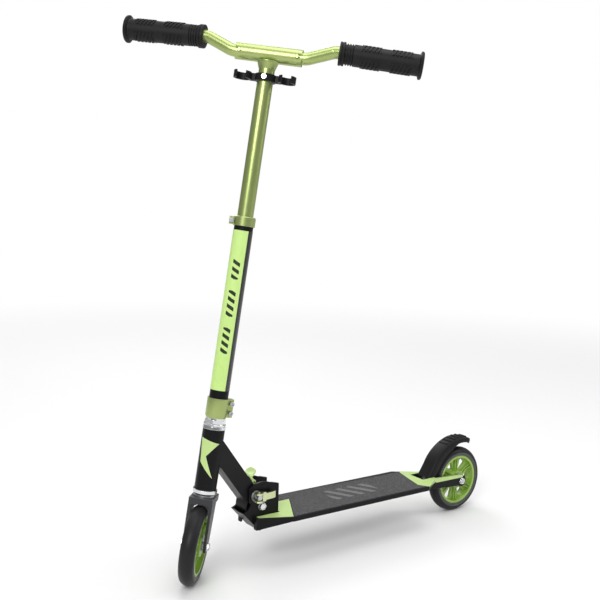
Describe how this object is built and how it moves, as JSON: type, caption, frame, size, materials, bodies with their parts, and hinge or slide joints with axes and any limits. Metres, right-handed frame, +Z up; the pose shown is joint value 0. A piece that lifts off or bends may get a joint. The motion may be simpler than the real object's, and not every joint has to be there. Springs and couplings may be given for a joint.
{
  "type": "kick scooter",
  "caption": "Folding kick scooter with a telescoping steering column, pull-out handlebars, spoked wheels and a foot brake on the rear mudguard.",
  "frame": {"origin": "on the ground, below the middle of the overall box; the scooter's own middle plane is 12 mm to the left of it, because the turned handlebar makes the box lopsided", "axes": "+X to the rear, +Y to the rider's right, +Z up"},
  "size_m": [0.6997, 0.3552, 0.88],
  "materials": {
    "black_paint": "satin powder coat",
    "grip_deck": "fine abrasive grit",
    "pale_graphic": "satin film",
    "steel": "zinc plated",
    "chrome_steel": "polished",
    "olive_metal": "anodised satin green",
    "lime_core": "moulded",
    "tyre_rubber": "smooth urethane",
    "grip_rubber": "matt",
    "black_plastic": "moulded",
    "grey_paint": "satin",
    "nylon": "natural",
    "bronze": "sintered"
  },
  "bodies": {
    "deck_frame": {"deck": "black_paint", "grip_surface": "grip_deck", "front_graphic": "pale_graphic", "rear_graphic": "pale_graphic", "fold_bracket": "black_paint", "pivot_bolt": "chrome_steel", "pivot_nut": "chrome_steel", "quick_release_skewer": "steel", "skewer_nut": "olive_metal", "skewer_washer": "steel", "cam_pin": "steel", "rear_arms": "black_paint", "rear_axle": "steel", "rear_axle_nuts": "chrome_steel", "rear_washers": "steel", "brake_pin": "steel", "brake_spring": "steel"},
    "cam": {"cam_lever": "olive_metal"},
    "rear_wheel": {"rear_tyre": "tyre_rubber", "rear_wheel_core": "lime_core", "rear_bearings": "steel", "rear_bearing_sleeve": "steel"},
    "brake": {"brake_mudguard": "black_plastic"},
    "front_frame": {"down_beam": "black_paint", "pivot_bushing": "bronze", "headset_cups": "chrome_steel", "headset_bearings": "steel", "head_graphic": "pale_graphic", "lever_lugs": "black_plastic", "lever_pin": "steel", "lever_spring": "steel"},
    "release": {"release_lever": "pale_graphic"},
    "steering": {"fork": "grey_paint", "steerer_tube": "steel", "crown_race": "steel", "headset_nut": "chrome_steel", "lower_clamp": "olive_metal", "clamp_bolts": "steel", "outer_tube": "black_paint", "tube_wrap": "pale_graphic", "tube_bushing": "nylon", "top_collar": "olive_metal", "collar_bolt": "steel", "front_axle": "steel", "front_axle_nuts": "chrome_steel", "front_washers": "steel"},
    "front_wheel": {"front_tyre": "tyre_rubber", "front_wheel_core": "lime_core", "front_bearings": "steel", "front_bearing_sleeve": "steel"},
    "stem": {"inner_tube": "olive_metal", "handlebar_tee": "olive_metal", "handle_holder": "black_plastic", "holder_screw": "chrome_steel"},
    "bar_left": {"handlebar_left": "olive_metal", "grip_left": "grip_rubber"},
    "bar_right": {"handlebar_right": "olive_metal", "grip_right": "grip_rubber"},
    "button_left": {"snap_button_left": "steel"},
    "button_right": {"snap_button_right": "steel"}
  },
  "joints": [
    {"name": "fold_hinge", "type": "hinge", "parent": "deck_frame", "child": "front_frame", "pos_m": [-0.1826, -0.0122, 0.1045], "axis": [0, 1, 0], "range_deg": [0, 84]},
    {"name": "steering_turn", "type": "hinge", "parent": "front_frame", "child": "steering", "pos_m": [-0.29063, -0.0122, 0.06321], "axis": [0.1478, 0, 0.989], "range_deg": [-121, 29]},
    {"name": "front_wheel_spin", "type": "hinge", "parent": "steering", "child": "front_wheel", "pos_m": [-0.30183, -0.02357, 0.0625], "axis": [-0.7114, 0.6947, 0.1063], "continuous": true},
    {"name": "rear_wheel_spin", "type": "hinge", "parent": "deck_frame", "child": "rear_wheel", "pos_m": [0.2874, -0.0122, 0.0625], "axis": [0, 1, 0], "continuous": true},
    {"name": "height_slide", "type": "slide", "parent": "steering", "child": "stem", "axis": [0.1478, 0, 0.989], "range_m": [-0.195, 0]},
    {"name": "bar_left_pull", "type": "slide", "parent": "stem", "child": "bar_left", "axis": [0.7114, -0.6947, -0.1063], "range_m": [0, 0.036]},
    {"name": "bar_right_pull", "type": "slide", "parent": "stem", "child": "bar_right", "axis": [-0.7114, 0.6947, 0.1063], "range_m": [0, 0.036]},
    {"name": "snap_button_left_press", "type": "slide", "parent": "bar_left", "child": "button_left", "axis": [0.687, 0.7193, -0.1027], "range_m": [0, 0.003], "stiffness_N_per_m": 400},
    {"name": "snap_button_right_press", "type": "slide", "parent": "bar_right", "child": "button_right", "axis": [0.687, 0.7193, -0.1027], "range_m": [0, 0.003], "stiffness_N_per_m": 400},
    {"name": "brake_press", "type": "hinge", "parent": "deck_frame", "child": "brake", "pos_m": [0.2094, -0.0122, 0.07626], "axis": [0, 1, 0], "range_deg": [0, 8], "stiffness_Nm_per_rad": 1.5, "springref_deg": -8.59},
    {"name": "quick_release_lever", "type": "hinge", "parent": "deck_frame", "child": "cam", "pos_m": [-0.19409, -0.0398, 0.12326], "axis": [0, 0, -1], "range_deg": [0, 150]},
    {"name": "release_lever_press", "type": "hinge", "parent": "front_frame", "child": "release", "pos_m": [-0.19274, -0.0122, 0.14427], "axis": [0, 1, 0], "range_deg": [0, 12], "stiffness_Nm_per_rad": 0.3}
  ]
}
